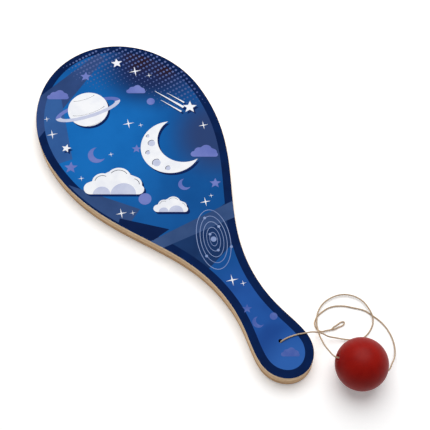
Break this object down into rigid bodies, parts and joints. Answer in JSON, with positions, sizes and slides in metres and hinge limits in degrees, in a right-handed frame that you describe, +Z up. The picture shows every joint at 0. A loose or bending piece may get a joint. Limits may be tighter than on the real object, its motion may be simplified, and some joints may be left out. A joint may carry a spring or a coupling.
{
  "type": "paddle ball game",
  "caption": "Flat plywood paddle with a printed night-sky face, and a small rubber ball strung on an elastic cord that comes out of a hole in the grip.",
  "frame": {"origin": "on the paddle's underside, under the middle of the blade's widest line", "axes": "+Y along the paddle to the blade's tip, +Z up out of the printed face, +X to the right seen from above with the blade's tip away"},
  "size_m": [0.1337, 0.3365, 0.035],
  "materials": {
    "veneer": "sanded bare poplar veneer",
    "cross_veneer": "bare end-grain veneer, a little darker",
    "print": "satin printed film, blue night sky with a navy border",
    "elastic": "matt natural tan rubber thread",
    "ball": "matt red rubber"
  },
  "bodies": {
    "paddle": {"face_ply": "veneer", "upper_cross_ply": "cross_veneer", "core_ply": "veneer", "lower_cross_ply": "cross_veneer", "back_ply": "veneer", "front_print": "print", "stopper_knot": "elastic", "cord_in_handle": "elastic", "cord_lead": "elastic"},
    "coil": {"cord_loops": "elastic", "cord_tail_loops": "elastic", "end_knot": "elastic", "end_eye": "elastic"},
    "strung_cord": {"cord_in_ball": "elastic"},
    "ball": {"ball": "ball"}
  },
  "joints": [
    {"name": "ball_pull", "type": "slide", "parent": "paddle", "child": "coil", "axis": [0.6202, -0.7844, 0], "range_m": [0, 0.25], "deforming": ["cord_lead"]},
    {"name": "ball_lift", "type": "slide", "parent": "coil", "child": "strung_cord", "axis": [0, 0, 1], "range_m": [0, 0.25], "deforming": ["cord_loops", "cord_tail_loops"]},
    {"name": "ball_swivel", "type": "hinge", "parent": "strung_cord", "child": "ball", "pos_m": [0.035, -0.244, 0.0175], "axis": [-0.7092, 0.6165, 0.342], "continuous": true}
  ]
}
